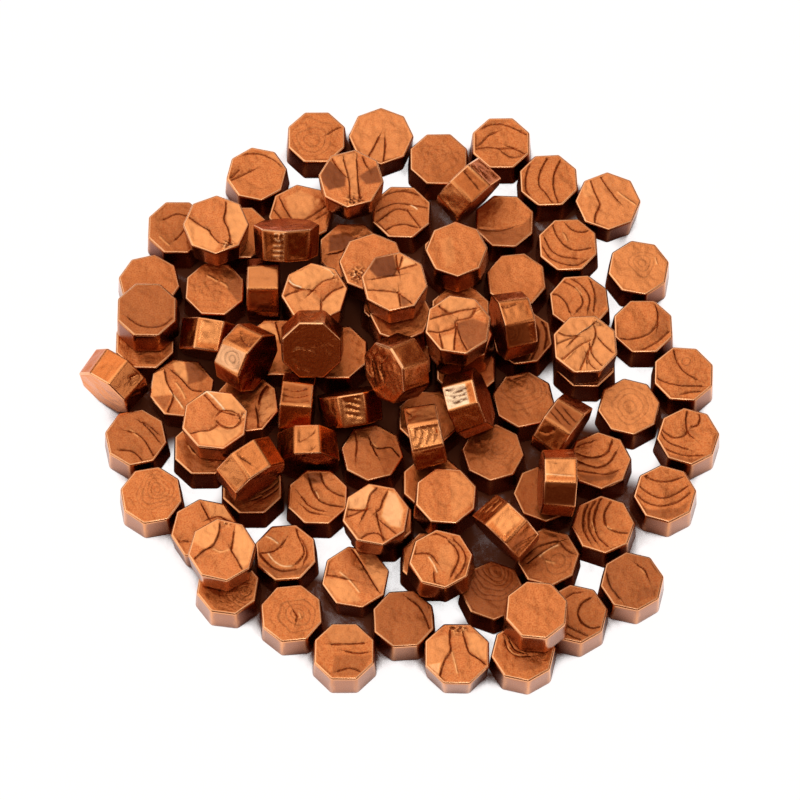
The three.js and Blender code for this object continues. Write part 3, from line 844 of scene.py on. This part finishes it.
crease(0.9, (556, 331), (565, 335), (577, 336))
crease(0.9, (554, 345), (563, 341), (574, 337))
crease(0.8, (594, 325), (596, 333), (593, 343), (588, 352), (587, 363))
crease(0.85, (590, 344), (592, 353), (598, 361), (603, 366))
crease(0.7, (587, 356), (590, 363), (596, 369))
crease(0.6, (560, 361), (570, 353), (580, 345), (590, 340))
crease(0.8, (580, 371), (584, 362), (588, 353))
crease(0.7, (599, 338), (606, 346), (613, 352))
ridge(0.8, (592, 325), (584, 330), (577, 335))
ridge(0.5, (575, 350), (568, 357), (562, 364))
face_tone((585, 344), 0.28)
knob((600, 321), 6)
crease(0.7, (531, 318), (538, 330), (537, 347), (530, 360))
crease(0.6, (540, 318), (546, 332), (544, 350), (536, 362))
face_tone((540, 340), -0.35, grain=0.4)
rings(0.3, (522, 386), 6, 30)
crease(0.8, (502, 377), (506, 373), (510, 375))
crease(0.7, (503, 381), (507, 378), (511, 380))
face_tone((520, 398), -0.12, grain=0.25)
face_tone((401, 316), -0.5, grain=0.6)
face_tone((524, 495), -0.4, grain=0.4)

# The beads that stand on edge and show their walls.
# The walls are scratched where the mould scraped them as the beads were pressed out; their pale patches are
# painted highlights, their dark patches partly painted shade.
for y in (391, 396, 401, 406):
    crease(0.75, (437, y + 3), (445, y), (455, y + 2), (466, y - 2), wide=0.9)
patch(0.95, (434, 389), (465, 382), (470, 404), (441, 412))
patch(0.45, (407, 424), (440, 423), (445, 444), (413, 450), grain=0.1)
for x in (414, 421, 428, 435):
    crease(0.45, (x, 426), (x + 2, 433), (x - 1, 444), wide=0.9)
patch(0.2, (410, 407), (436, 405), (440, 421), (408, 422), grain=0.3)
crease(0.8, (406, 412), (412, 415), (408, 420))
patch(0.2, (295, 428), (322, 426), (322, 458), (297, 459))
crease(0.85, (303, 457), (312, 447), (323, 437))
crease(0.5, (300, 441), (309, 436), (318, 428))
crease(0.5, (310, 451), (318, 443))
for y in (389, 395, 401):
    crease(0.7, (283, y), (296, y + 2), (308, y), wide=0.9)
patch(0.45, (338, 392), (358, 390), (362, 420), (342, 424))
for y in (398, 404, 410, 416):
    crease(0.65, (341, y), (349, y - 1), (358, y + 1), wide=0.9)
patch(0.85, (219, 342), (240, 349), (247, 352), (238, 374), (213, 362), grain=0.2)
rings(0.7, (232, 358), 5, 12)
crease(0.7, (241, 328), (242, 338), (249, 346))
patch(0.3, (249, 267), (279, 269), (278, 286), (249, 287), grain=0.2)
patch(-0.4, (250, 291), (272, 291), (270, 309), (250, 308), grain=0.5)
patch(0.4, (542, 453), (574, 452), (575, 477), (541, 476), grain=0.15)
ridge(0.9, (543, 474), (558, 475), (574, 476))
crease(0.4, (556, 463), (564, 459), (572, 456))
for x in (462, 470, 478):
    crease(0.7, (x, 168), (x + 8, 178), (x + 16, 188))
patch(0.25, (440, 190), (452, 186), (466, 200), (458, 212), (440, 202))
patch(0.15, (495, 307), (523, 303), (528, 318), (500, 325))
crease(0.6, (495, 306), (508, 307), (520, 302))
patch(-0.4, (500, 328), (528, 321), (532, 345), (503, 348), grain=0.7)
rings(0.6, (512, 334), 4, 14)
for x in (492, 498, 504):
    crease(0.8, (x - 12, 512), (x - 4, 504), (x + 4, 496))
patch(0.35, (488, 516), (503, 500), (523, 520), (504, 536))
patch(-0.2, (520, 532), (530, 528), (518, 552), (505, 548), grain=0.3)
for x in (548, 556, 564):
    crease(0.5, (x, 408), (x + 7, 416), (x + 14, 424))
patch(-0.2, (534, 436), (546, 422), (566, 432), (560, 442), grain=0.3)
crease(0.8, (541, 432), (547, 434), (554, 430))
patch(0.35, (217, 470), (231, 455), (246, 478), (238, 490))
crease(0.7, (237, 456), (244, 459), (251, 464))
patch(0.1, (232, 452), (252, 438), (268, 464), (250, 478))
patch(0.35, (200, 320), (222, 316), (219, 344), (198, 342))
rings(0.9, (277, 237), 4, 7)
for y in (245, 250, 255):
    ridge(0.9, (274, y + 1), (283, y + 1), wide=1.4)
for y in (378, 384, 390, 396):
    crease(0.6, (132, y), (138, y - 3), (146, y - 6))
ridge(0.9, (131, 396), (136, 389))
# Painted shade on the front walls of the tall dark bead.
face_tone((270, 248), deep=0.8)
face_tone((300, 248), deep=0.8)
knob((280, 236), 4)
ridge(1.0, (275, 234), (280, 232), (285, 235), wide=1.2)
ridge(1.0, (275, 239), (279, 241), (284, 239), wide=1.2)
ridge(0.7, (277, 259), (284, 260))

# The two dark beads in the middle of the heap, which stand on edge and show an end face.
# Rings run round each face, with painted highlights in broken arcs where they catch the light.
ridge(0.8, (293, 351), (298, 348), (304, 349), wide=1.1)
ridge(0.8, (308, 349), (313, 351), (315, 354), wide=1.1)
ridge(0.6, (294, 360), (297, 364), (298, 368), wide=1.1)
ridge(0.5, (304, 368), (309, 371))
ridge(0.5, (326, 350), (330, 353))
rings(0.35, (310, 354), 5, 26)
ridge(0.8, (372, 357), (367, 363), (367, 371), (371, 377), wide=1.2)
crease(0.5, (386, 357), (379, 366), (382, 378))
crease(0.5, (378, 352), (371, 361), (372, 372))
face_tone((312, 314), 0.45)

# Some faces are painted duller or brighter all over than their neighbours.
# This is painted shade and painted light, where these faces catch less or more light.
for spot, tone in (((297, 395), -0.45), ((467, 182), -0.35), ((566, 405), -0.7), ((558, 497), -0.8),
                  ((264, 277), -0.5), ((309, 443), -0.2), ((350, 407), 0.5), ((118, 378), 0.25),
                  ((98, 392), 0.42), ((310, 352), 0.3), ((372, 365), 0.28)):
    face_tone(spot, tone)

# Each bead is a copy of a master, and its marks are pressed into it before it is put in its place.
# Soft waves and a worn edge keep the plain places from looking machined.
FOLD_DEPTH = 0.0001
FOLD_REACH = 0.0007
FOLD_SHADE_REACH = 0.0009
FOLD_DARK = 0.46
GROOVE_DARK = 0.62
GROOVE_NARROWING = 1.1
RIDGE_HEIGHT = 0.7
PATCH_EDGE = 0.0003
RING_WOBBLE = 1.1
RING_CONTRAST = 1.6
RING_GAP = 0.6
RING_DEPTH = 0.6
RING_DARK = 0.75
LUMP_HEIGHT = 0.00022
LUMP_SCALE = 3000
LUMP_REACH = 1.4
LUMP_DARK, LUMP_DARKEST = 2.5, 0.8
LUMP_PALE, LUMP_PALEST = 2.0, 0.7
DULLING = 0.9
FACE_WAVE = 0.00012
WAVE_SCALE = 420
RIPPLE = 0.4
RIPPLE_SCALE = 1300
WALL_WAVE = 0.00005
SWAY_SCALE = 330
WANDER = 0.00004
WANDER_SCALE = 2200
BREAK_SCALE = 1500
BREAK_MIDDLE, BREAK_SWING, FAINTEST = 0.7, 1.1, 0.2
EDGE_WEAR = 0.5
WEAR_MIDDLE = 0.8
WEAR_SCALE = 900
EDGE_FADE = 0.0003
WORN_AT = 0.1 * EDGE_ROUND
WORN_WIDTH = 0.7 * EDGE_ROUND
WALL_REACH = 1.5 * EDGE_ROUND
SIDE_SKIN = 0.00004
FEW_POINTS = 200
LYING = 0.75
SHADE_REACH = 0.0115
SHADE_FADE = 0.004
FACING_LOW = 0.2
FACING_SPAN = 0.5
END_SHADE = 0.55
SMOOTH_ANGLE = math.radians(35)
TINY = 1e-18
SEED_STEP = 7.3
SIDE_LENGTHS = np.linalg.norm(SIDE_NORMALS, axis=1)
SIDE_UNITS = SIDE_NORMALS / SIDE_LENGTHS[:, None]


def line_distance(spots, line, normal):
    """The distance to a line, and a value above zero on its left, where the upper fold lies back."""
    nearest = np.full(len(spots), FAR_AWAY)
    side = np.zeros(len(spots))
    for a, b in zip(line, line[1:]):
        along = b - a
        share = np.clip((spots - a) @ along / max(along @ along, TINY), 0, 1)
        away = np.linalg.norm(spots - a - share[:, None] * along, axis=1)
        side = np.where(away < nearest, np.cross(along, spots - a) @ normal, side)
        nearest = np.minimum(nearest, away)
    return nearest, side


def inside_depth(spots, corners, normal):
    loop = np.vstack([corners, corners[:1]])
    east = (corners[1] - corners[0]) / np.linalg.norm(corners[1] - corners[0])
    north = np.cross(normal, east)
    flat, ring = spots @ np.stack([east, north]).T, loop @ np.stack([east, north]).T
    inside = np.zeros(len(spots), bool)
    for (ax, ay), (bx, by) in zip(ring, ring[1:]):
        crosses = (ay > flat[:, 1]) != (by > flat[:, 1])
        slant = ax + (flat[:, 1] - ay) * (bx - ax) / (by - ay if by != ay else TINY)
        inside ^= crosses & (flat[:, 0] < slant)
    return np.where(inside, 1, -1) * line_distance(spots, loop, normal)[0]


def rough(spots, scale, seed):
    drift = np.array((seed * SEED_STEP, 0, 0))
    return np.array([noise.noise(Vector(spot)) for spot in spots * scale + drift])


def shade_from(spots, normals, near):
    """How far the beads around close a place in. Such places get a painted shade."""
    shade = np.zeros(len(spots))
    for centre in near:
        way = np.array(centre) - spots
        far = np.linalg.norm(way, axis=1)
        facing = (way * normals).sum(axis=1) / far
        close = np.clip((SHADE_REACH - far) / SHADE_FADE, 0, 1)
        shade = np.maximum(shade, np.clip((facing - FACING_LOW) / FACING_SPAN, 0, 1) * close)
    return shade


def face_marks(here, normal, marked, face, seed):
    """How high each point of a face stands once its marks are in it, and how the marks colour it."""
    height = FACE_WAVE * rough(here, WAVE_SCALE, seed + face)
    height += RIPPLE * FACE_WAVE * rough(here, RIPPLE_SCALE, seed + face)
    wander = WANDER * rough(here, WANDER_SCALE, seed + 3)
    look = {mark: np.zeros(len(here)) for mark in MARKS}

    def add(mark, amount):
        look[mark] = np.maximum(look[mark], amount)

    for kind, marked_face, line, *amounts in marked:
        if marked_face != face:
            continue
        if kind == "crease":
            dark, wide = amounts
            far, side = line_distance(here, line, normal)
            away = (far + wander) / (CREASE_WIDTH * wide)
            lower = side > 0
            step = np.exp(-away * CREASE_WIDTH / FOLD_REACH) * lower
            height -= CREASE_DEPTH * np.exp(-away ** 2) + FOLD_DEPTH * step
            # Painted shade: dark in the groove, and falling off on the lower side of the fold.
            groove = GROOVE_DARK * np.exp(-away ** 2 * GROOVE_NARROWING)
            under_fold = FOLD_DARK * np.exp(-far / FOLD_SHADE_REACH) * lower
            broken = BREAK_MIDDLE + BREAK_SWING * rough(here, BREAK_SCALE, seed + 1)
            broken = np.clip(broken, FAINTEST, 1)
            add("hollow_shade", dark * broken * np.maximum(groove, under_fold))
        elif kind == "ridge":
            light, wide = amounts
            away = (line_distance(here, line, normal)[0] + wander) / (CREASE_WIDTH * wide)
            height += CREASE_DEPTH * RIDGE_HEIGHT * np.exp(-away ** 2)
            # Painted highlight along the ridge.
            add("pale_and_highlight", light * np.exp(-away ** 2))
        elif kind == "patch":
            tone, rise, grain = amounts
            depth = np.clip((inside_depth(here, line, normal) + wander) / PATCH_EDGE + 0.5, 0, 1)
            height += rise * depth
            add("pale_and_highlight", max(tone, 0) * depth)
            add("dull_and_shade", max(-tone, grain) * depth)
        elif kind == "rings":
            strength, reach = amounts
            spacing = np.linalg.norm(line[1] - line[0])
            away = np.linalg.norm(here - line[0], axis=1) / spacing
            away += RING_WOBBLE * rough(here, WAVE_SCALE, seed + 5)
            band = np.clip(np.cos(away * 2 * math.pi) * RING_CONTRAST - RING_GAP, 0, 1)
            band *= np.clip(reach - away, 0, 1)
            # Painted shade in the ring grooves.
            height -= RING_DEPTH * CREASE_DEPTH * band * strength
            add("hollow_shade", RING_DARK * strength * band)
        elif kind == "knob":
            size = np.linalg.norm(line[1] - line[0])
            close = np.clip(LUMP_REACH - np.linalg.norm(here - line[0], axis=1) / size, 0, 1)
            lump = rough(here, LUMP_SCALE, seed + 9)
            height += LUMP_HEIGHT * close * lump
            add("hollow_shade", close * np.clip(-lump * LUMP_DARK, 0, LUMP_DARKEST))
            add("pale_and_highlight", close * np.clip(lump * LUMP_PALE, 0, LUMP_PALEST))
        elif kind == "tone":
            tone, grain, deep = amounts
            add("shaded", deep)
            add("pale_and_highlight", max(tone, 0))
            add("dull_and_shade", max(-tone, grain))
    look["pale_and_highlight"] *= 1 - DULLING * look["dull_and_shade"]
    return height, look


def press(piece, seed, marked, near):
    mesh = piece.data
    count = len(mesh.vertices)
    spots = np.empty(count * 3)
    mesh.vertices.foreach_get("co", spots)
    spots = spots.reshape(-1, 3)
    shift = np.zeros((count, 3))
    gap = (SIDE_REACH - spots @ SIDE_NORMALS.T) / SIDE_LENGTHS
    normals = SIDE_UNITS[gap.argmin(axis=1)]
    fields = {mark: np.zeros(count) for mark in MARKS}
    # Places that the neighbouring beads close in get a painted shade, level faces less of it.
    part = np.where(np.abs(normals[:, 2]) > LEVEL, END_SHADE, 1)
    fields["shaded"] = shade_from(spots, normals, near) * part
    for face, normal in enumerate(SIDE_UNITS):
        chosen = gap[:, face] < SIDE_SKIN
        if chosen.sum() < FEW_POINTS:
            continue
        others = np.delete(gap[chosen], face, axis=1).min(axis=1)
        fade = np.clip((others - EDGE_ROUND) / EDGE_FADE, 0, 1)
        height, look = face_marks(spots[chosen], normal, marked, face, seed)
        look["hollow_shade"] *= fade
        shift[chosen] += (height * fade)[:, None] * normal
        for mark in MARKS:
            fields[mark][chosen] = np.maximum(fields[mark][chosen], look[mark])
    edge = np.exp(-((np.sort(gap, axis=1)[:, 1] - WORN_AT) / WORN_WIDTH) ** 2)
    worn = EDGE_WEAR * edge * (WEAR_MIDDLE + rough(spots, WEAR_SCALE, seed))
    fields["pale_and_highlight"] = np.maximum(fields["pale_and_highlight"], worn)
    outer = gap[:, 2:].min(axis=1) < WALL_REACH
    sway = rough(spots[outer], SWAY_SCALE, seed * 3.1)
    out = spots[outer] * (1, 1, 0)
    shift[outer] += WALL_WAVE * sway[:, None] * out / np.linalg.norm(out, axis=1)[:, None]
    mesh.vertices.foreach_set("co", (spots + shift).ravel())
    for mark, field in fields.items():
        mesh.attributes[mark].data.foreach_set("value", field.astype(np.float32))


bodies = frame["record"]["behaviour"]["bodies"]
body_of = {node: body for body, members in bodies.items() for node in members}
for number, (name, (node, place)) in enumerate(places.items(), 1):
    facing = place.col[2].z
    master = moulded_up if facing > LYING else poured_up if facing < -LYING else on_edge
    bead = copy_of(master)
    bead.name = name
    back = place.inverted()
    around = [back @ other.translation for other_node, other in places.values() if other is not place]
    press(bead, number, marks[name], [centre for centre in around if centre.length < 2 * SHADE_REACH])
    bead.data.transform(place)
    bpy.ops.object.shade_smooth_by_angle(angle=SMOOTH_ANGLE)
    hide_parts(node)
    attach(bead, body_of[node])
for master in (moulded_up, poured_up, on_edge):
    bpy.data.objects.remove(master)
